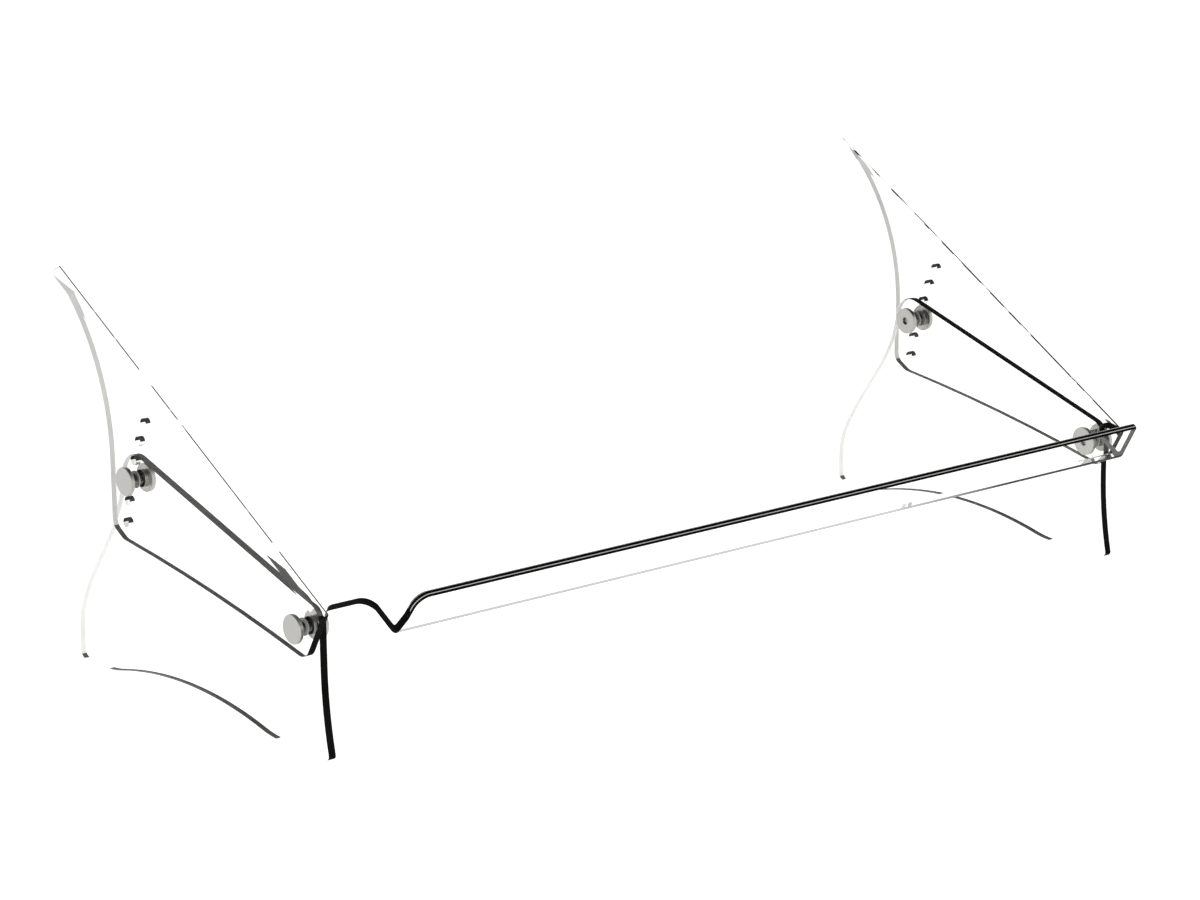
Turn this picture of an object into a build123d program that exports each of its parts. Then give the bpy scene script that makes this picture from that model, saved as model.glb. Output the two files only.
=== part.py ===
"""In-line document holder: a bent clear sheet on two side legs, held by four thumb knobs.

Millimetres. X runs to the right, Y to the back and Z up. The desk is Z = 0, and the origin lies
under the middle of the assembly's outline. The holder stands with its rear studs in index hole 4.
"""
import os
from math import cos, radians, sin, sqrt, tan

from build123d import *

# ---- driving dimensions -------------------------------------------------------------------
# the clear sheet that the tray, the wings, the lip and the legs are cut from
SHEET = 4.0
WIDTH = 530.0                # over the outer faces of the two wings
WING_BEND = 0.6              # inside radius of the bends down into the wings
LIP_BEND = 1.2               # inside radius of the bend up into the lip

# the tray, measured up its slope from the front face of the lip
TRAY_LENGTH = 274.5
LIP_HEIGHT = 20.5            # over the tray's top face
LIP_CORNER = 8.5             # rounding of the lip's left end
LIP_STEP = 3.0               # the lip's left end stands in from the notch by this
LIP_STEP_RISE = 7.0          # and reaches that over this height
SCOOP_HALF_WIDTH = 190.0     # the shallow dip in the tray's rear edge
SCOOP_DEPTH = 14.4
NOTCH_LENGTH = 25.0          # the relief cut at both front corners
LEFT_NOTCH_WIDTH = 27.5
RIGHT_NOTCH_WIDTH = 15.0
LEFT_NOTCH_RADIUS = 7.5
RIGHT_NOTCH_RADIUS = 8.0

# the wings, in the tray's own slope: along it from the lip's face, and down from its underside
WING_FRONT = 19.3
WING_FRONT_CORNER = 7.0
WING_FRONT_DROP = 24.3
WING_BELLY = 102.3           # the long lower edge bows through this point
WING_BELLY_DROP = 53.4
WING_TIP_CORNER = 6.0
WING_REAR = 190.9            # here the straight rear edge turns into the long curve
WING_REAR_DROP = 50.0
WING_REAR_ANGLE = 59.65      # of the straight rear edge to the tray
WING_REAR_RADIUS = 107.0

# the pivots and the index holes
PIVOT_HEIGHT = 62.0          # over the desk
PIVOT_FROM_LIP = 31.1
PIVOT_BELOW_TRAY = 14.5
INDEX_RADIUS = 145.3         # from the pivot to each index hole
INDEX_FIRST_ANGLE = 0.25     # of the first hole, over a line along the tray
INDEX_PITCH = 4.5            # degrees from hole to hole
INDEX_COUNT = 6
INDEX_IN_USE = 4
HOLE = 4.8                   # diameter of every hole in the sheet
LEG_HOLE_ANGLE = 17.1        # from the leg's pivot up to its rear hole

# the legs, in side view: behind the pivot, and over the desk
PANEL_GAP = 0.5              # between a wing and its leg
LEG_EYE = 12.2               # radius of the leg round its rear hole; its top edge is as far off
LEG_FRONT = 11.2             # its front edge stands this far before the pivot
LEG_SHOULDER = 10.0          # rounding between the front edge and the top edge
LEG_TOE = 16.3               # the toe stands this far before the pivot
LEG_FLARE_HEIGHT = 45.0      # below this the front edge flares out to the toe
LEG_HEEL = 198.2
LEG_HEEL_STRAIGHT = 8.0
LEG_HEEL_CORNER = 4.0
LEG_TOE_CORNER = 2.0
CALF_HEIGHT = 31.0           # the rear edge bends through the calf, the hip and the waist
CALF_FROM_HEEL = 3.9
HIP_HEIGHT = 52.3
HIP_FROM_HEEL = 17.2
WAIST_BELOW_HOLE = 29.2      # of the rear hole
WAIST_BEHIND_HOLE = 25.1
TOE_FLAT = 48.3              # from the toe to the arch
HEEL_FLAT = 30.2             # from the arch to the heel
ARCH_HEIGHT = 8.8
ARCH_EASING = 60.0           # radius that eases the arch into the toe and the heel

# the fasteners
STUD = 4.0                   # diameter
PIVOT_SHANK = 4.7            # diameter of a front stud where it carries the wing and the leg
RUN_CLEARANCE = 0.05         # radial, between a stud and the bore that it runs in
STUD_TIP = 0.5               # chamfer at both ends of a stud
KNOB = 14.4                  # diameter of a knob, and of a nut's flange
KNOB_THICKNESS = 2.4
KNOB_ROUNDING = 0.6
NECK = 8.7                   # diameter of the necks of a knob and a nut, and of the washers
NECK_LENGTH = 0.8
WASHER_THICKNESS = 0.5
KNOB_CAP = 0.9               # metal left over the end of a knob's blind bore
BORE_END = 0.3               # the stud stops this short of that metal
NUT_FLANGE = 2.4
NUT_NECK_LENGTH = 2.0
NUT_ROUNDING = 0.4
STUD_RECESS = 1.3            # the stud stops this far inside the nut's face

# ---- what follows from them ---------------------------------------------------------------
HALF = WIDTH / 2
WING_INSIDE = HALF - SHEET
LEFT_NOTCH_X = LEFT_NOTCH_WIDTH - WING_INSIDE
RIGHT_NOTCH_X = WING_INSIDE - RIGHT_NOTCH_WIDTH
LEG_OUTSIDE = WING_INSIDE - PANEL_GAP
LEG_INSIDE = LEG_OUTSIDE - SHEET
LIP_TOP = SHEET + LIP_HEIGHT
TRAY_ANGLE = LEG_HOLE_ANGLE - INDEX_FIRST_ANGLE + (INDEX_IN_USE - 1) * INDEX_PITCH
SLOPE = (cos(radians(TRAY_ANGLE)), sin(radians(TRAY_ANGLE)))
PAST = SHEET                 # how far a cutting shape reaches past what it cuts


def over_desk(along, up):
    """A point of the tray in side view: behind the pivot, and over the desk."""
    a, u = along - PIVOT_FROM_LIP, up + PIVOT_BELOW_TRAY
    return a * SLOPE[0] - u * SLOPE[1], PIVOT_HEIGHT + a * SLOPE[1] + u * SLOPE[0]


def polar(radius, degrees, centre=(0.0, 0.0)):
    return centre[0] + radius * cos(radians(degrees)), centre[1] + radius * sin(radians(degrees))


def save(part, name):
    part.label = name
    export_step(part, f"parts/{name}.step")


# the outline reaches from the lip's top edge to the lower edge of the tray's back
PIVOT_Y = -(over_desk(0, LIP_TOP)[0] + over_desk(TRAY_LENGTH, 0)[0]) / 2
CORNER = over_desk(0, 0)
TRAY_ORIGIN = Vector(0, PIVOT_Y + CORNER[0], CORNER[1])
UP_TRAY = (0, -SLOPE[1], SLOPE[0])
TRAY_PLANE = Plane(TRAY_ORIGIN, x_dir=(1, 0, 0), z_dir=UP_TRAY)
TRAY_SIDE = Plane(TRAY_ORIGIN, x_dir=(0, *SLOPE), z_dir=(1, 0, 0))
DESK_SIDE = Plane((0, PIVOT_Y, 0), x_dir=(0, 1, 0), z_dir=(1, 0, 0))
PIVOT_ON_TRAY = (PIVOT_FROM_LIP, -PIVOT_BELOW_TRAY)
INDEX_HOLES = [polar(INDEX_RADIUS, INDEX_FIRST_ANGLE - n * INDEX_PITCH, PIVOT_ON_TRAY)
               for n in range(INDEX_COUNT)]
LEG_PIVOT = (0.0, PIVOT_HEIGHT)
LEG_REAR_HOLE = polar(INDEX_RADIUS, LEG_HOLE_ANGLE, LEG_PIVOT)

os.makedirs("parts", exist_ok=True)

# ---- the tray panel: one sheet, with two wings bent down and a lip bent up ------------------
# the wing's lower corner is round the last index hole, and small enough for the stud to stand
# just clear of it when the tray is tipped up by one more pitch
last_hole = INDEX_HOLES[-1]
pitch_chord = 2 * INDEX_RADIUS * sin(radians(INDEX_PITCH) / 2)
corner_radius = pitch_chord - STUD / 2 - 2 * RUN_CLEARANCE
corner_start = polar(corner_radius, -117, last_hole)
corner_middle = polar(corner_radius, -101, last_hole)
corner_end = polar(corner_radius, -85, last_hole)
rear_start = (WING_REAR, -WING_REAR_DROP)
rear_centre = polar(WING_REAR_RADIUS, WING_REAR_ANGLE - 90, rear_start)
rear_run_out = (rear_centre[0] - sqrt(WING_REAR_RADIUS**2 - rear_centre[1]**2), 0)
rear_middle = polar(WING_REAR_RADIUS, WING_REAR_ANGLE + 65, rear_centre)
tip_drop = rear_start[1] - corner_end[1]
tip = (rear_start[0] - tip_drop / tan(radians(WING_REAR_ANGLE)), corner_end[1])
front_foot = (WING_FRONT, -WING_FRONT_DROP)
wing_depth = PAST - corner_end[1]
front_section = Plane(TRAY_ORIGIN + TRAY_SIDE.x_dir * WING_FRONT, x_dir=(1, 0, 0),
                      z_dir=(0, -SLOPE[0], -SLOPE[1]))

with BuildPart() as tray_panel:
    # a channel of the sheet, open downwards
    with BuildSketch(front_section):
        with Locations((0, SHEET)):
            channel = Rectangle(WIDTH, SHEET + wing_depth, align=(Align.CENTER, Align.MAX))
        fillet(channel.vertices().group_by(Axis.Y)[-1], WING_BEND + SHEET)
    extrude(amount=WING_FRONT - TRAY_LENGTH)
    with BuildSketch(front_section):
        hollow = Rectangle(2 * WING_INSIDE, wing_depth + PAST, align=(Align.CENTER, Align.MAX))
        fillet(hollow.vertices().group_by(Axis.Y)[-1], WING_BEND)
    extrude(amount=WING_FRONT - TRAY_LENGTH, mode=Mode.SUBTRACT)
    # the outline of the wings
    with BuildSketch(TRAY_SIDE) as wing_outline:
        with BuildLine():
            ThreePointArc(front_foot, (WING_BELLY, -WING_BELLY_DROP), corner_start)
            ThreePointArc(corner_start, corner_middle, corner_end)
            Polyline(corner_end, tip, rear_start)
            ThreePointArc(rear_start, rear_middle, rear_run_out)
            Polyline(rear_run_out, (TRAY_LENGTH + PAST, 0), (TRAY_LENGTH + PAST, SHEET + PAST),
                     (WING_FRONT, SHEET + PAST), front_foot)
        make_face()
        fillet(wing_outline.vertices().sort_by_distance(tip)[0], WING_TIP_CORNER)
        fillet(wing_outline.vertices().sort_by_distance(front_foot)[0], WING_FRONT_CORNER)
    extrude(amount=HALF + PAST, both=True, mode=Mode.INTERSECT)
    # the front of the tray and the lip
    with BuildSketch(Plane(TRAY_PLANE.from_local_coords((LEFT_NOTCH_X, 0, 0)),
                           x_dir=TRAY_SIDE.x_dir, z_dir=(1, 0, 0))) as lip_section:
        with BuildLine():
            Polyline((0, 0), (NOTCH_LENGTH, 0), (NOTCH_LENGTH, SHEET), (SHEET, SHEET),
                     (SHEET, LIP_TOP), (0, LIP_TOP), close=True)
        make_face()
        fillet(lip_section.vertices().sort_by_distance((0, 0))[0], LIP_BEND + SHEET)
        fillet(lip_section.vertices().sort_by_distance((SHEET, SHEET))[0], LIP_BEND)
    extrude(amount=RIGHT_NOTCH_X - LEFT_NOTCH_X)
    # the relief cuts beside the lip
    with BuildSketch(TRAY_PLANE.offset(-WING_BEND - PAST)) as notches:
        for notch_x, side, radius in ((LEFT_NOTCH_X, -1, LEFT_NOTCH_RADIUS),
                                      (RIGHT_NOTCH_X, 1, RIGHT_NOTCH_RADIUS)):
            with Locations(((notch_x + side * WING_INSIDE) / 2, -PAST)):
                Rectangle(WING_INSIDE - side * notch_x, NOTCH_LENGTH + PAST,
                          align=(Align.CENTER, Align.MIN))
            for x, rounding in ((notch_x, radius), (side * WING_INSIDE, NOTCH_LENGTH - WING_FRONT)):
                fillet(notches.vertices().sort_by_distance((x, NOTCH_LENGTH))[0], rounding)
    extrude(amount=WING_BEND + SHEET + 2 * PAST, mode=Mode.SUBTRACT)
    # the lip's left end steps in and is rounded at its top
    with BuildSketch(Plane(TRAY_ORIGIN, x_dir=(1, 0, 0), z_dir=(0, -SLOPE[0], -SLOPE[1]))):
        with BuildLine():
            lip_end = LEFT_NOTCH_X + LIP_STEP
            Polyline((LEFT_NOTCH_X, SHEET), (lip_end, SHEET + LIP_STEP_RISE),
                     (lip_end, LIP_TOP - LIP_CORNER))
            RadiusArc((lip_end, LIP_TOP - LIP_CORNER), (lip_end + LIP_CORNER, LIP_TOP), LIP_CORNER)
            Polyline((lip_end + LIP_CORNER, LIP_TOP), (lip_end + LIP_CORNER, LIP_TOP + PAST),
                     (LEFT_NOTCH_X - PAST, LIP_TOP + PAST), (LEFT_NOTCH_X - PAST, SHEET),
                     (LEFT_NOTCH_X, SHEET))
        make_face()
    extrude(amount=-SHEET - LIP_BEND, mode=Mode.SUBTRACT)
    # the shallow dip in the rear edge
    with BuildSketch(TRAY_PLANE.offset(-PAST)):
        with BuildLine():
            ThreePointArc((-SCOOP_HALF_WIDTH, TRAY_LENGTH), (0, TRAY_LENGTH - SCOOP_DEPTH),
                          (SCOOP_HALF_WIDTH, TRAY_LENGTH))
            Polyline((SCOOP_HALF_WIDTH, TRAY_LENGTH), (SCOOP_HALF_WIDTH, TRAY_LENGTH + PAST),
                     (-SCOOP_HALF_WIDTH, TRAY_LENGTH + PAST), (-SCOOP_HALF_WIDTH, TRAY_LENGTH))
        make_face()
    extrude(amount=SHEET + 2 * PAST, mode=Mode.SUBTRACT)
    # the pivot holes and the arcs of index holes
    with BuildSketch(TRAY_SIDE):
        with Locations(PIVOT_ON_TRAY, *INDEX_HOLES):
            Circle(HOLE / 2)
    extrude(amount=HALF + PAST, both=True, mode=Mode.SUBTRACT)
save(tray_panel.part, "tray_panel")

# ---- the legs ------------------------------------------------------------------------------
arch_front = TOE_FLAT - LEG_TOE
arch_rear = LEG_HEEL - HEEL_FLAT
for side, side_name in ((-1, "left"), (1, "right")):
    with BuildPart() as leg:
        with BuildSketch(DESK_SIDE.offset(side * LEG_OUTSIDE)) as leg_outline:
            with BuildLine():
                top_rise = LEG_EYE / cos(radians(LEG_HOLE_ANGLE))
                shoulder = (-LEG_FRONT, PIVOT_HEIGHT + top_rise
                            - LEG_FRONT * tan(radians(LEG_HOLE_ANGLE)))
                rear_top = polar(LEG_EYE, LEG_HOLE_ANGLE + 90, LEG_REAR_HOLE)
                rear_back = polar(LEG_EYE, LEG_HOLE_ANGLE / 2, LEG_REAR_HOLE)
                waist = (LEG_REAR_HOLE[0] + WAIST_BEHIND_HOLE, LEG_REAR_HOLE[1] - WAIST_BELOW_HOLE)
                Line(shoulder, rear_top)
                ThreePointArc(rear_top, polar(LEG_EYE, 60, LEG_REAR_HOLE), rear_back)
                Spline(rear_back, waist, (LEG_HEEL - HIP_FROM_HEEL, HIP_HEIGHT),
                       (LEG_HEEL - CALF_FROM_HEEL, CALF_HEIGHT), (LEG_HEEL, LEG_HEEL_STRAIGHT),
                       tangents=(polar(1, LEG_HOLE_ANGLE / 2 - 90), (0, -1)))
                Polyline((LEG_HEEL, LEG_HEEL_STRAIGHT), (LEG_HEEL, 0), (arch_rear, 0))
                ThreePointArc((arch_rear, 0), ((arch_front + arch_rear) / 2, ARCH_HEIGHT),
                              (arch_front, 0))
                Line((arch_front, 0), (-LEG_TOE, 0))
                Line(shoulder, (-LEG_FRONT, LEG_FLARE_HEIGHT))
                TangentArc((-LEG_FRONT, LEG_FLARE_HEIGHT), (-LEG_TOE, 0), tangent=(0, -1))
            make_face()
            for corner, rounding in ((shoulder, LEG_SHOULDER), ((LEG_HEEL, 0), LEG_HEEL_CORNER),
                                     ((arch_rear, 0), ARCH_EASING), ((arch_front, 0), ARCH_EASING),
                                     ((-LEG_TOE, 0), LEG_TOE_CORNER)):
                fillet(leg_outline.vertices().sort_by_distance(corner)[0], rounding)
            with Locations(LEG_PIVOT, LEG_REAR_HOLE):
                Circle(HOLE / 2, mode=Mode.SUBTRACT)
        extrude(amount=-side * SHEET)
    save(leg.part, f"{side_name}_leg")

# ---- the fasteners: knob, washer, stud, spacer and nut at each of the four holes ------------
WASHER_OUTSIDE = HALF + WASHER_THICKNESS
KNOB_BACK = WASHER_OUTSIDE + NECK_LENGTH
KNOB_FACE = KNOB_BACK + KNOB_THICKNESS
NUT_BACK = LEG_INSIDE - NUT_NECK_LENGTH
NUT_FACE = NUT_BACK - NUT_FLANGE
BORE_BOTTOM = KNOB_FACE - KNOB_CAP
BORE = STUD / 2 + RUN_CLEARANCE


def turned(plane, profile, rounding=0.0, rounded=()):
    """A piece turned about X. Its profile's points are distances out along X, and radii."""
    with BuildPart() as piece:
        with BuildSketch(plane) as section:
            with BuildLine():
                Polyline(*profile, close=True)
            make_face()
            for point in rounded:
                fillet(section.vertices().sort_by_distance(point)[0], rounding)
        revolve(axis=Axis(plane.origin, (1, 0, 0)))
    return piece.part


def ring(plane, inside, outside, start, end):
    return turned(plane, ((start, inside), (end, inside), (end, outside), (start, outside)))


for side, side_name in ((-1, "left"), (1, "right")):
    for place, (behind, above) in (("front", LEG_PIVOT), ("rear", LEG_REAR_HOLE)):
        across = Plane((0, PIVOT_Y + behind, above), x_dir=(side, 0, 0), z_dir=(0, -side, 0))
        name = f"{side_name}_{place}"
        # the knob: a disc with rounded rims on a short neck, bored blind for the stud
        save(turned(across, ((WASHER_OUTSIDE, BORE), (BORE_BOTTOM, BORE), (BORE_BOTTOM, 0),
                             (KNOB_FACE, 0), (KNOB_FACE, KNOB / 2), (KNOB_BACK, KNOB / 2),
                             (KNOB_BACK, NECK / 2), (WASHER_OUTSIDE, NECK / 2)),
                    KNOB_ROUNDING, ((KNOB_FACE, KNOB / 2), (KNOB_BACK, KNOB / 2))),
             f"{name}_knob")
        save(ring(across, BORE, NECK / 2, HALF, WASHER_OUTSIDE), f"{name}_washer")
        # a front stud has a wider shank, the pivot of the wing and the leg; a rear stud has none,
        # and there the profile's points that fall together count once
        tip_inside = NUT_FACE + STUD_RECESS
        tip_outside = BORE_BOTTOM - BORE_END
        shank = PIVOT_SHANK / 2 if place == "front" else STUD / 2
        stud = ((tip_inside, 0), (tip_outside, 0), (tip_outside, STUD / 2 - STUD_TIP),
                (tip_outside - STUD_TIP, STUD / 2), (HALF, STUD / 2), (HALF, shank),
                (LEG_INSIDE, shank), (LEG_INSIDE, STUD / 2), (tip_inside + STUD_TIP, STUD / 2),
                (tip_inside, STUD / 2 - STUD_TIP))
        save(turned(across, dict.fromkeys(stud)), f"{name}_stud")
        save(ring(across, shank + RUN_CLEARANCE, NECK / 2, LEG_OUTSIDE, WING_INSIDE),
             f"{name}_spacer")
        # the nut: a round flange on a neck that bears on the leg
        save(turned(across, ((LEG_INSIDE, BORE), (LEG_INSIDE, NECK / 2), (NUT_BACK, NECK / 2),
                             (NUT_BACK, KNOB / 2), (NUT_FACE, KNOB / 2), (NUT_FACE, BORE)),
                    NUT_ROUNDING, ((NUT_BACK, KNOB / 2), (NUT_FACE, KNOB / 2))),
             f"{name}_nut")
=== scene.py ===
"""An in-line document holder of clear bent acrylic on two side legs, with steel thumb knobs."""
from math import atan2, cos, degrees, pi, radians, sin

import bmesh
import bpy
from mathutils import Matrix, Vector
from mathutils.bvhtree import BVHTree


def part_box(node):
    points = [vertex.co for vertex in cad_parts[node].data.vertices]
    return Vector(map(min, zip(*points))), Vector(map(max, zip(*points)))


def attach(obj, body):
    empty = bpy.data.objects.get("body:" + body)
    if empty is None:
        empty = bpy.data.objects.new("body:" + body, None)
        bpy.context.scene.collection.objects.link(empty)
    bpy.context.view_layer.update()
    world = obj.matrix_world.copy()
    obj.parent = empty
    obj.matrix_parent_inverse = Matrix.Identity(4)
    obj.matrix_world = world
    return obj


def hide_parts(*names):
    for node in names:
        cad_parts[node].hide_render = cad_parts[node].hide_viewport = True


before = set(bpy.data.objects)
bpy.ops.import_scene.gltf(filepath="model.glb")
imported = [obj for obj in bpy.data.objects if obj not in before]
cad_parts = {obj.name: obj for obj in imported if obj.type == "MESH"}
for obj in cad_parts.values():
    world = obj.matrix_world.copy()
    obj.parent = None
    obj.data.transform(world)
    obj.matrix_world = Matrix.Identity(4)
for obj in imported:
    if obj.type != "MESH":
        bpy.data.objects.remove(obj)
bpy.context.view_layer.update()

# The camera stands before the holder's left corner, a little over two metres away, and looks
# down on it with a long lens, as a product photographer's does.
frame_width = 1200           # the picture's width in pixels, and the lens in the same pixels
lens_pixels = 4038.0
azimuth, elevation, roll = radians(39.19), radians(-14.59), radians(0.63)
stand = Vector((-1.2847, -1.5514, 0.6104))

ahead = Vector((sin(azimuth) * cos(elevation), cos(azimuth) * cos(elevation), sin(elevation)))
level = ahead.cross(Vector((0, 0, 1))).normalized()
upright = level.cross(ahead)
right = level * cos(roll) - upright * sin(roll)
up = upright * cos(roll) + level * sin(roll)
camera_data = bpy.data.cameras.new("camera")
camera_data.sensor_width = 36
camera_data.lens = camera_data.sensor_width * lens_pixels / frame_width
camera_data.clip_start, camera_data.clip_end = 0.05, 60
camera = bpy.data.objects.new("camera", camera_data)
camera.matrix_world = Matrix((right, up, -ahead)).transposed().to_4x4()
camera.matrix_world.translation = stand
bpy.context.scene.collection.objects.link(camera)
bpy.context.scene.camera = camera
bpy.context.scene.view_settings.view_transform = "Standard"

# The studio: white cloth walls round a lit white table. Their light falls off towards the
# ceiling, which keeps the clear sheets free of haze and their upper edges dark.
wall_light, ceiling_light = 1.3, 0.12
wall_top, ceiling_edge = 0.3, 0.75         # as the height of a direction, 1 straight up
table_shade, table_glow = 0.6, 0.92
floor_half = 6.0

world = bpy.data.worlds.new("cloth_walls")
world.use_nodes = True
sky = world.node_tree
direction = sky.nodes.new("ShaderNodeTexCoord")
height = sky.nodes.new("ShaderNodeSeparateXYZ")
falling = sky.nodes.new("ShaderNodeMapRange")
falling.interpolation_type = "SMOOTHSTEP"
for name, value in (("From Min", wall_top), ("From Max", ceiling_edge),
                    ("To Min", wall_light), ("To Max", ceiling_light)):
    falling.inputs[name].default_value = value
sky.links.new(direction.outputs["Generated"], height.inputs[0])
sky.links.new(height.outputs["Z"], falling.inputs["Value"])
sky.links.new(falling.outputs["Result"], sky.nodes["Background"].inputs["Strength"])
sky.nodes["Background"].inputs["Color"].default_value = (1, 1, 1, 1)
bpy.context.scene.world = world

floor_mesh = bpy.data.meshes.new("floor")
floor_mesh.from_pydata([(x * floor_half, y * floor_half, 0)
                        for x, y in ((-1, -1), (1, -1), (1, 1), (-1, 1))], [], [(0, 1, 2, 3)])
floor = bpy.data.objects.new("floor", floor_mesh)
bpy.context.scene.collection.objects.link(floor)
table = bpy.data.materials.new("lit_table")
table.use_nodes = True
tabletop = table.node_tree.nodes["Principled BSDF"].inputs
tabletop["Base Color"].default_value = (table_shade, table_shade, table_shade, 1)
tabletop["Roughness"].default_value = 0.9
tabletop["Emission Color"].default_value = (1, 1, 1, 1)
tabletop["Emission Strength"].default_value = table_glow
floor.data.materials.append(table)


# The tray: one sheet of clear cast acrylic, sawn to its outline, flame-polished along its edges
# and bent hot over a wire into two wings and a lip. Its faces show almost nothing. Each edge has
# a shade that is set here, not traced: black to the front, grey below and pale or clear behind.
class Tone:
    """A socket of a material that takes Python's operators."""

    def __init__(self, tree, socket):
        self.tree, self.socket = tree, socket

    def node(self, kind, settings=None, output=0, **sockets):
        """Adds a node and gives one output. A socket is named, or is in_ and its number."""
        made = self.tree.nodes.new(kind)
        for name, value in (settings or {}).items():
            setattr(made, name, value)
        for name, value in sockets.items():
            key = int(name[3:]) if name.startswith("in_") else name.replace("_", " ").title()
            if isinstance(value, Tone):
                self.tree.links.new(value.socket, made.inputs[key])
            else:
                made.inputs[key].default_value = value
        return Tone(self.tree, made.outputs[output])

    def maths(self, operation, *others):
        sockets = {f"in_{n}": value for n, value in enumerate((self, *others))}
        return self.node("ShaderNodeMath", {"operation": operation}, **sockets)

    def __add__(self, other):
        return self.maths("ADD", other)

    def __rsub__(self, other):
        return (self * -1).maths("ADD", other)

    def __mul__(self, other):
        return self.maths("MULTIPLY", other)

    __radd__, __rmul__ = __add__, __mul__

    def between(self, dark, light):
        """A colour that goes from dark to light as this goes from 0 to 1."""
        return self.node("ShaderNodeMix", {"data_type": "RGBA"}, 2, in_0=self,
                         in_6=(*dark, 1), in_7=(*light, 1))


class Finish:
    """A material with one Principled shader, whose even values are set on its sockets."""

    def __init__(self, name, **even):
        self.material = bpy.data.materials.new(name)
        self.material.use_nodes = True
        self.tree = self.material.node_tree
        self.shader = self.tree.nodes["Principled BSDF"]
        for socket, value in even.items():
            self.shader.inputs[socket.replace("_", " ")].default_value = value
        self.place = Tone(self.tree, self.tree.nodes.new("ShaderNodeTexCoord").outputs["Object"])

    def grain(self, size, detail=2.0):
        """Noise whose grains are about so many metres across."""
        return self.place.node("ShaderNodeTexNoise", vector=self.place, scale=1 / size,
                               detail=detail)

    def risen(self, height, depth):
        """The normal of a surface that rises by depth where height is 1."""
        return height.node("ShaderNodeBump", height=height, distance=depth)

    def across(self, **varying):
        """Wires what changes over the surface, and gives the material."""
        for socket, value in varying.items():
            self.tree.links.new(value.socket, self.shader.inputs[socket.replace("_", " ")])
        return self.material


# how much each surface bends light: lower than acrylic's own 1.49, at which the light that
# enters through a bend or an edge would be lost in the sheet
acrylic_index, bend_index, rear_index = 1.12, 1.02, 1.015
face_haze = 0.012            # how rough the polished faces get
saw_marks = 0.000006         # depth of what the polishing left of them
edge_warmth = 0.96           # an edge's blue, as a share of its red and green


def clear_sheet(name, index):
    clear = Finish(name, Transmission_Weight=1.0, IOR=index)
    return clear.across(
        Base_Color=clear.grain(0.09).between((0.990, 0.988, 0.978), (0.998, 0.998, 0.992)),
        Roughness=clear.grain(0.03) * face_haze)


def painted_edge(name, dark, light, gloss, painted_glow=0.0):
    """An edge in painted shade, for what a polished edge shows of the room, a little uneven
    along its run, with an optional painted glow.
    """
    edge = Finish(name, Specular_IOR_Level=gloss, IOR=acrylic_index,
                  Emission_Color=(1, 1, 1, 1), Emission_Strength=painted_glow)
    marks = edge.grain(0.0012, 3.0)
    return edge.across(
        Base_Color=edge.grain(0.02, 3.0).between([dark, dark, dark * edge_warmth],
                                                 [light, light, light * edge_warmth]),
        Roughness=marks * 0.1 + 0.12, Normal=edge.risen(marks, saw_marks))


mid_height = 0.13            # of a fold over the table
dash_fade = 0.05             # how softly a dash ends, in the noise that makes it
pale_until, dark_beyond = 0.08, 0.16       # across the lip, from the middle
line_gloss = 0.1


def painted_fold_shade(name, dark, light, dash, cover, sinking=0.0):
    """A painted line of shade along a fold, in dashes that grow more frequent lower down by
    sinking.
    """
    line_paint = Finish(name, Specular_IOR_Level=line_gloss, IOR=acrylic_index)
    height = line_paint.place.node("ShaderNodeSeparateXYZ", output=2, vector=line_paint.place)
    run = line_paint.grain(dash, 3.0) + (mid_height - height) * sinking
    broken = run.node("ShaderNodeMapRange", {"interpolation_type": "SMOOTHSTEP"}, value=run,
                      from_min=1 - cover, from_max=1 + dash_fade - cover)
    return line_paint.across(Base_Color=line_paint.grain(0.02).between([dark] * 3, [light] * 3),
                         Roughness=run * 0.2 + 0.1, Alpha=broken)


def painted_lip_shading(name, pale, dark):
    """A painted line of light and shade along the lip's bend: pale, and darker towards the right
    end.
    """
    line_paint = Finish(name, Specular_IOR_Level=line_gloss, IOR=acrylic_index)
    along = line_paint.place.node("ShaderNodeSeparateXYZ", vector=line_paint.place)
    darker = along.node("ShaderNodeMapRange", value=along, from_min=pale_until,
                        from_max=dark_beyond)
    marks = line_paint.grain(0.01, 3.0)
    return line_paint.across(Base_Color=(darker + marks * 0.1).between([pale] * 3, [dark] * 3),
                         Roughness=marks * 0.2 + 0.1)


acrylic = [clear_sheet("clear_acrylic", acrylic_index),
           clear_sheet("clear_bend", bend_index),
           clear_sheet("rear_edge", rear_index),
           painted_fold_shade("left_fold_line", dark=0.05, light=0.2, dash=0.02, cover=0.58),
           painted_fold_shade("right_fold_line", dark=0.002, light=0.03, dash=0.012, cover=0.57,
                       sinking=1.6),
           painted_lip_shading("lip_line", pale=0.55, dark=0.04),
           # edges in painted shade: black at the front, grey below and on the lip's flank, dark
           # in the holes, pale with a painted glow behind
           painted_edge("front_painted_shade", dark=0.002, light=0.01, gloss=0.08),
           painted_edge("grey_painted_shade", dark=0.1, light=0.19, gloss=0.2),
           painted_edge("flank_painted_shade", dark=0.16, light=0.24, gloss=0.2),
           painted_edge("hole_painted_shade", dark=0.02, light=0.1, gloss=0.2),
           painted_edge("wing_rear_edge", dark=0.5, light=0.66, gloss=0.3, painted_glow=0.25),
           painted_edge("leg_rear_painted_light", dark=0.7, light=0.86, gloss=0.3, painted_glow=0.3),
           # a narrow strip along the lip's chamfer, pale with a painted glow: a painted
           # highlight
           painted_edge("lip_painted_highlight", dark=0.45, light=0.65, gloss=0.3, painted_glow=0.05)]
(FACE, BEND, REAR, LEFT_FOLD, RIGHT_FOLD, LIP_LINE, FRONT, LOWER, SIDE, HOLE, WING_REAR,
 LEG_REAR, LIP_PAINTED_HIGHLIGHT) = range(len(acrylic))

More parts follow.
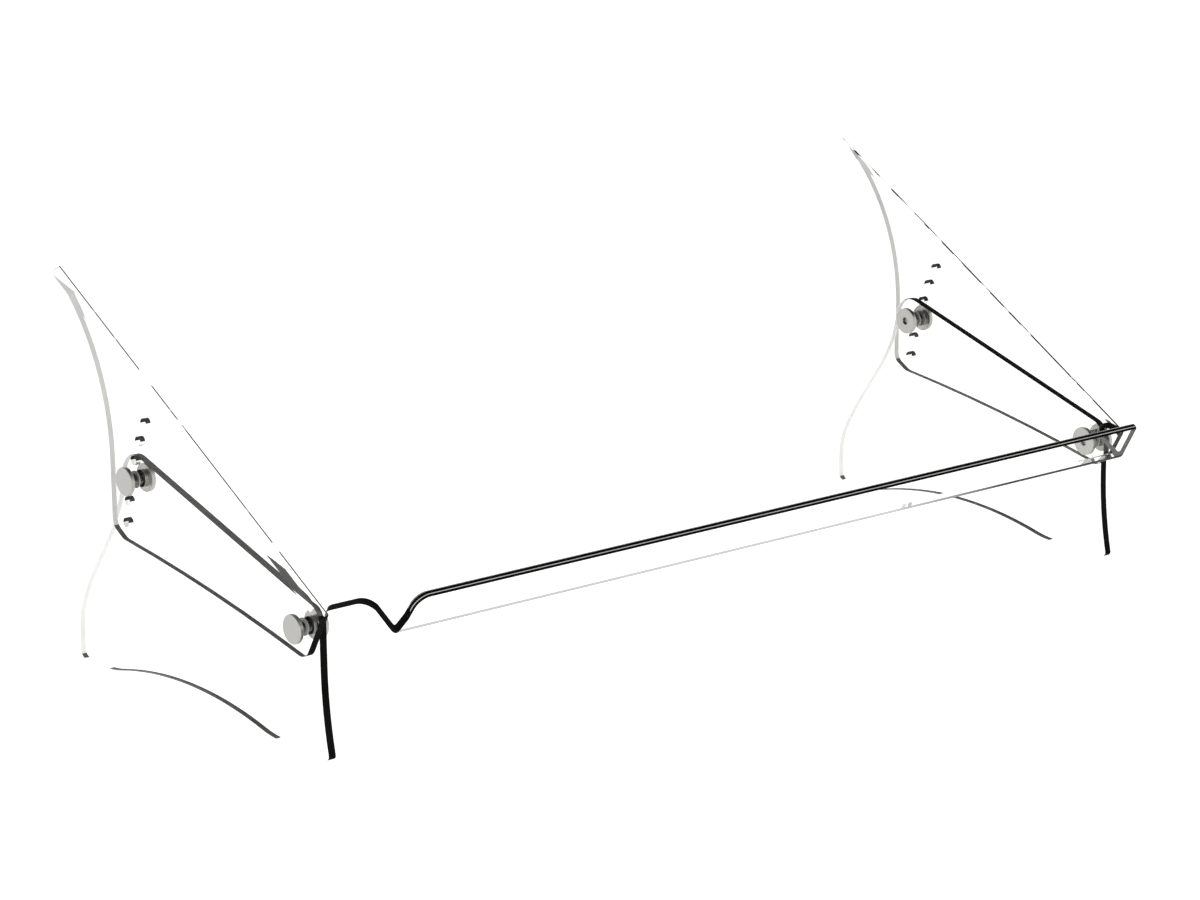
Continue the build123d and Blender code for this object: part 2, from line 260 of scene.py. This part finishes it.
sheet_thickness = 0.004
thin_slack = 0.00005
same_point = 1e-6
hole_width = 0.005           # a face that looks at another nearer than this is in a hole
rim_width, lip_highlight_width = 0.0004, 0.0002
rim_rows = 2                 # facets across a broken rim
flat_within = radians(0.3)
sharp_beyond = radians(60)
face_about = -0.99           # below this, two normals' dot product means opposite faces


def cut_sheet(node, finish_of, eased=None):
    """A copy of a sheet node with broken rims, its faces given clear finishes or painted shades
    by where they are.

    eased is the width of a wide chamfer, and the function that picks its rims.
    """
    mesh = bmesh.new()
    mesh.from_mesh(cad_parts[node].data)
    bmesh.ops.remove_doubles(mesh, verts=mesh.verts, dist=same_point)
    mesh.normal_update()
    solid = BVHTree.FromBMesh(mesh)
    for face in mesh.faces:
        centre, normal = face.calc_center_median(), face.normal
        _, behind, _, reach = solid.ray_cast(centre - normal * thin_slack, -normal)
        thin = reach is not None and abs(reach + thin_slack - sheet_thickness) < thin_slack
        _, _, _, gap = solid.ray_cast(centre + normal * thin_slack, normal)
        face.material_index = finish_of(centre, normal, thin and behind.dot(normal) < face_about,
                                        gap is not None and gap < hole_width)
    bmesh.ops.dissolve_limit(mesh, angle_limit=flat_within, verts=mesh.verts, edges=mesh.edges,
                             delimit={"MATERIAL"})
    if eased:
        width, picked = eased
        # the lip's chamfer is painted black, and a narrow strip along its inner edges gets a
        # painted highlight
        rims = [e for e in mesh.edges if e.calc_face_angle(0) > sharp_beyond and picked(e)]
        bmesh.ops.bevel(mesh, geom=rims, offset=width, segments=1, affect="EDGES",
                        clamp_overlap=False, material=FRONT)
        inner = [e for e in mesh.edges if len(e.link_faces) == 2 and picked(e)
                 and all(f.material_index == FRONT for f in e.link_faces)
                 and e.calc_face_angle(0) > sharp_beyond / 2]
        bmesh.ops.bevel(mesh, geom=inner, offset=lip_highlight_width, segments=1, affect="EDGES",
                        clamp_overlap=False, material=LIP_PAINTED_HIGHLIGHT)
    rims = [e for e in mesh.edges if e.calc_face_angle(0) > sharp_beyond]
    fresh = len(acrylic)
    broken = bmesh.ops.bevel(mesh, geom=rims, offset=rim_width, segments=rim_rows, profile=0.5,
                             affect="EDGES", clamp_overlap=True, material=fresh)["faces"]
    # a broken rim takes the finish of the edge beside it, one row at a time
    for _ in range(rim_rows):
        beside = {}
        for face in broken:
            if face.material_index == fresh:
                near = {f.material_index for e in face.edges for f in e.link_faces}
                if near - {FACE, fresh}:
                    beside[face] = max(near - {FACE, fresh})
        for face, finish in beside.items():
            face.material_index = finish
    for face in mesh.faces:
        face.smooth = False
        if face.material_index == fresh:
            face.material_index = FACE
    data = bpy.data.meshes.new(node + "_sheet")
    mesh.to_mesh(data)
    mesh.free()
    for finish in acrylic:
        data.materials.append(finish)
    sheet = bpy.data.objects.new(node + "_sheet", data)
    bpy.context.scene.collection.objects.link(sheet)
    return sheet


leaning = 0.5                # how far a normal has to lean for its face to count as that way
upright_beyond = 0.9


# an edge's painted shade, by which way it faces: black to the front and top, grey below, the
# rear shade behind; a hole's down-facing wall dark
def edge_finish(normal, in_hole, rear):
    if in_hole:
        return HOLE if normal.z < 0 else FACE
    if normal.y < -leaning * abs(normal.z) or normal.z > upright_beyond:
        return FRONT
    return LOWER if normal.z < -leaning else rear


tray_slope = radians(30.35)
along_tray = Vector((0, cos(tray_slope), sin(tray_slope)))
over_tray = Vector((0, -sin(tray_slope), cos(tray_slope)))
sideways = Vector((1, 0, 0))
tray_low, tray_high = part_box("tray_panel")
wing_face = tray_high[0]
tray_length = 0.2745
lip_rise = 0.0245            # the lip's top edge over the tray's underside
# the lip's lower front corner, from its top edge, the frontmost line of the tray
lip_foot = Vector((0, tray_low[1], 0)) - over_tray * lip_rise
lip_foot.z = tray_high[2] - tray_length * along_tray.z - sheet_thickness * over_tray.z
front_stretch = 0.042        # of the tray's slope, from the lip over the relief cuts
rear_stretch = 0.25          # from here on, the tray's edge is its rear edge
wing_rear = 0.192            # and a wing's its rear edge
lip_chamfer = 0.001
near_face = 1e-4
level_within = 0.02          # of a normal, for a face that doesn't lean that way
curved_beyond = radians(2)   # from the nearest of the sheet's three directions
# the strips of a bend that get a painted line, as the degrees they have turned from a flat face
left_line, right_line, right_dashes, lip_line = (8, 16), (16, 25), (2, 66), (2, 42)


def tray_finish(centre, normal, thin, in_hole):
    along = (centre - lip_foot).dot(along_tray)
    on_wing = abs(centre.x) > wing_face - sheet_thickness - near_face
    aside, up_slope, above = (normal.dot(n) for n in (sideways, along_tray, over_tray))
    curved = max(abs(aside), abs(up_slope), abs(above)) < cos(curved_beyond)
    # a band of a fold's strips gets a painted line of shade: dashes on the left, on the right a
    # black band over painted dashes
    if curved and along > front_stretch and abs(aside) > level_within and above > level_within:
        turned = degrees(atan2(abs(aside), above))
        if aside < 0:
            return LEFT_FOLD if left_line[0] < turned < left_line[1] else BEND
        if right_line[0] < turned < right_line[1]:
            return FRONT
        return RIGHT_FOLD if right_dashes[0] < turned < right_dashes[1] else BEND
    on_lip = along < lip_rise and not on_wing
    # a band of the lip's bend gets a painted line of light and shade
    if curved and on_lip and abs(aside) < level_within and up_slope < -level_within:
        turned = degrees(atan2(-above, -up_slope))
        return LIP_LINE if lip_line[0] < turned < lip_line[1] else BEND
    if thin:
        return BEND if curved else FACE
    # the edges by the lip are painted black, or grey on its flank; the wings' rear edges pale
    # with a painted glow
    if along < front_stretch and not on_wing:
        return SIDE if aside > leaning else FRONT
    if along > rear_stretch and not on_wing:
        return REAR
    if along > wing_rear and not in_hole:
        return WING_REAR
    return edge_finish(normal, in_hole, WING_REAR)


def lip_rim(edge):
    low = min((v.co - lip_foot).dot(over_tray) for v in edge.verts)
    run = (edge.verts[1].co - edge.verts[0].co).normalized()
    return low > lip_rise / 2 and abs(run.dot(along_tray)) < leaning


tray_sheet = cut_sheet("tray_panel", tray_finish, (lip_chamfer, lip_rim))
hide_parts("tray_panel")
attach(tray_sheet, "tray")


# The legs: two flat plates of the same sheet, with an arch under each so that it stands on its
# toe and heel. Their edges are painted: black at the front, the left one's top grey, pale behind
# with a painted glow.
def leg_finish(centre, normal, thin, in_hole):
    if thin:
        return FACE
    if centre.z < near_face:
        return REAR
    # the left leg's top edge is painted grey, not black
    if centre.x < 0 and normal.z > leaning and normal.y < 0:
        return LOWER
    return edge_finish(normal, in_hole, LEG_REAR)


for side in ("left", "right"):
    leg_sheet = cut_sheet(f"{side}_leg", leg_finish)
    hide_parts(f"{side}_leg")
    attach(leg_sheet, f"{side}_leg")

# The knobs and nuts: turned from stainless bar and satin finished, so that fine rings run round
# their faces. A knob and its nut pinch the wing against the leg.
ring_pitch, ring_depth = 0.00022, 0.0000012
worn_tone, clean_tone = (0.93, 0.92, 0.88), (1, 0.99, 0.96)


def turned_steel(name, node, shade):
    low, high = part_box(node)
    middle = (low + high) / 2
    steel = Finish(name, Metallic=1.0)
    out = steel.place.node("ShaderNodeMapping", vector=steel.place,
                           location=(0, -middle[1], -middle[2]), scale=(0, 1, 1))
    radius = out.node("ShaderNodeVectorMath", {"operation": "LENGTH"}, 1, in_0=out)
    rings = (radius * (2 * pi / ring_pitch) + steel.grain(0.003) * 4).maths("SINE") * 0.5 + 0.5
    wear = steel.grain(0.0025, 4.0)
    return steel.across(
        Base_Color=(wear * 0.7 + rings * 0.3).between([shade * tone for tone in worn_tone],
                                                      [shade * tone for tone in clean_tone]),
        Roughness=wear * 0.12 + rings * 0.05 + 0.24, Normal=steel.risen(rings, ring_depth))


def finished(node, material):
    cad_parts[node].data.materials.clear()
    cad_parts[node].data.materials.append(material)


knob_shade, stud_shade = 0.46, 0.34
for place in ("front", "rear"):
    bar = turned_steel(f"turned_steel_{place}", f"left_{place}_knob", knob_shade)
    for side in ("left", "right"):
        finished(f"{side}_{place}_knob", bar)
        finished(f"{side}_{place}_nut", bar)

# The front studs: shouldered pins, ground smooth where the wing and the leg turn on them.
for side in ("left", "right"):
    finished(f"{side}_front_stud", turned_steel(f"{side}_ground_pin", f"{side}_front_stud",
                                                stud_shade))

# The rear studs: lengths of threaded rod that slip through an index hole. Each is a core with
# one ridge wound round it from end to end.
thread_pitch, stud_width = 0.0007, 0.004
ridge_height = thread_pitch * 0.55         # a little over half, so that the turns meet


def threaded_rod():
    """A node tree: a core along X, and a ridge that winds round it."""
    tree = bpy.data.node_groups.new("threaded_rod", "GeometryNodeTree")
    for name, kind in (("Start", "NodeSocketFloat"), ("Length", "NodeSocketFloat"),
                       ("Axis", "NodeSocketVector"), ("Width", "NodeSocketFloat"),
                       ("Pitch", "NodeSocketFloat"), ("Ridge", "NodeSocketFloat"),
                       ("Steel", "NodeSocketMaterial")):
        tree.interface.new_socket(name, in_out="INPUT", socket_type=kind)
    tree.interface.new_socket("Rod", in_out="OUTPUT", socket_type="NodeSocketGeometry")

    def add(kind, settings=None, **sockets):
        made = tree.nodes.new(kind)
        for name, value in (settings or {}).items():
            setattr(made, name, value)
        for name, value in sockets.items():
            socket = made.inputs[name.replace("_", " ")]
            if isinstance(value, bpy.types.NodeSocket):
                tree.links.new(value, socket)
            else:
                socket.default_value = value
        return made.outputs

    def maths(operation, first, second):
        made = tree.nodes.new("ShaderNodeMath")
        made.operation = operation
        for socket, value in zip(made.inputs, (first, second)):
            if isinstance(value, bpy.types.NodeSocket):
                tree.links.new(value, socket)
            else:
                socket.default_value = value
        return made.outputs[0]

    size = tree.nodes.new("NodeGroupInput").outputs
    ridge_middle = maths("SUBTRACT", maths("MULTIPLY", size["Width"], 0.5), size["Ridge"])
    wound = maths("SUBTRACT", size["Length"], maths("MULTIPLY", size["Ridge"], 2.0))
    helix = add("GeometryNodeCurveSpiral", Resolution=24,
                Rotations=maths("DIVIDE", wound, size["Pitch"]), Start_Radius=ridge_middle,
                End_Radius=ridge_middle, Height=wound)["Curve"]
    section = add("GeometryNodeCurvePrimitiveCircle", Resolution=4,
                  Radius=size["Ridge"])["Curve"]
    ridge = add("GeometryNodeCurveToMesh", Curve=helix, Profile_Curve=section, Fill_Caps=True)
    raised = add("ShaderNodeCombineXYZ", Z=size["Ridge"])["Vector"]
    ridge = add("GeometryNodeTransform", Geometry=ridge["Mesh"], Translation=raised)["Geometry"]
    core = add("GeometryNodeMeshCylinder", Vertices=32, Radius=ridge_middle,
               Depth=size["Length"])["Mesh"]
    middle = add("ShaderNodeCombineXYZ", Z=maths("MULTIPLY", size["Length"], 0.5))["Vector"]
    core = add("GeometryNodeTransform", Geometry=core, Translation=middle)["Geometry"]
    both = tree.nodes.new("GeometryNodeJoinGeometry")
    for part in (core, ridge):
        tree.links.new(part, both.inputs[0])
    laid = add("GeometryNodeTransform", Geometry=both.outputs[0], Rotation=(0, pi / 2, 0),
               Translation=size["Axis"])["Geometry"]
    start = add("ShaderNodeCombineXYZ", X=size["Start"])["Vector"]
    laid = add("GeometryNodeTransform", Geometry=laid, Translation=start)["Geometry"]
    real = add("GeometryNodeRealizeInstances", Geometry=laid)["Geometry"]
    done = add("GeometryNodeSetMaterial", Geometry=real, Material=size["Steel"])["Geometry"]
    tree.links.new(done, tree.nodes.new("NodeGroupOutput").inputs["Rod"])
    return tree


rod_tree = threaded_rod()
for side in ("left", "right"):
    stud = f"{side}_rear_stud"
    low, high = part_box(stud)
    seed = bpy.data.objects.new("seed", bpy.data.meshes.new("seed"))
    bpy.context.scene.collection.objects.link(seed)
    grown = seed.modifiers.new("rod", "NODES")
    grown.node_group = rod_tree
    sizes = {"Start": low[0], "Length": high[0] - low[0], "Width": stud_width,
             "Axis": (0, (low[1] + high[1]) / 2, (low[2] + high[2]) / 2),
             "Pitch": thread_pitch, "Ridge": ridge_height,
             "Steel": turned_steel(f"{side}_rolled_thread", stud, stud_shade)}
    for socket in rod_tree.interface.items_tree:
        if socket.in_out == "INPUT":
            grown[socket.identifier] = sizes[socket.name]
    evaluated = seed.evaluated_get(bpy.context.evaluated_depsgraph_get())
    rod_mesh = bpy.data.meshes.new_from_object(evaluated)
    bpy.data.objects.remove(seed)
    rod = bpy.data.objects.new(f"{side}_threaded_rod", rod_mesh)
    bpy.context.scene.collection.objects.link(rod)
    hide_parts(stud)
    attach(rod, f"{side}_rear_stud")


# The washers and spacers: punched from milky nylon. One lies under each knob, and one between
# the wing and the leg, so that acrylic never rubs on acrylic.
def nylon():
    milky = Finish("milky_nylon", Subsurface_Weight=0.2, Subsurface_Scale=0.002,
                   Subsurface_Radius=(1, 1, 1))
    cloud = milky.grain(0.002, 3.0)
    return milky.across(Base_Color=cloud.between((0.62, 0.61, 0.58), (0.7, 0.69, 0.66)),
                        Roughness=cloud * 0.15 + 0.35)


washer_nylon = nylon()
for side in ("left", "right"):
    for place in ("front", "rear"):
        finished(f"{side}_{place}_washer", washer_nylon)
        finished(f"{side}_{place}_spacer", washer_nylon)
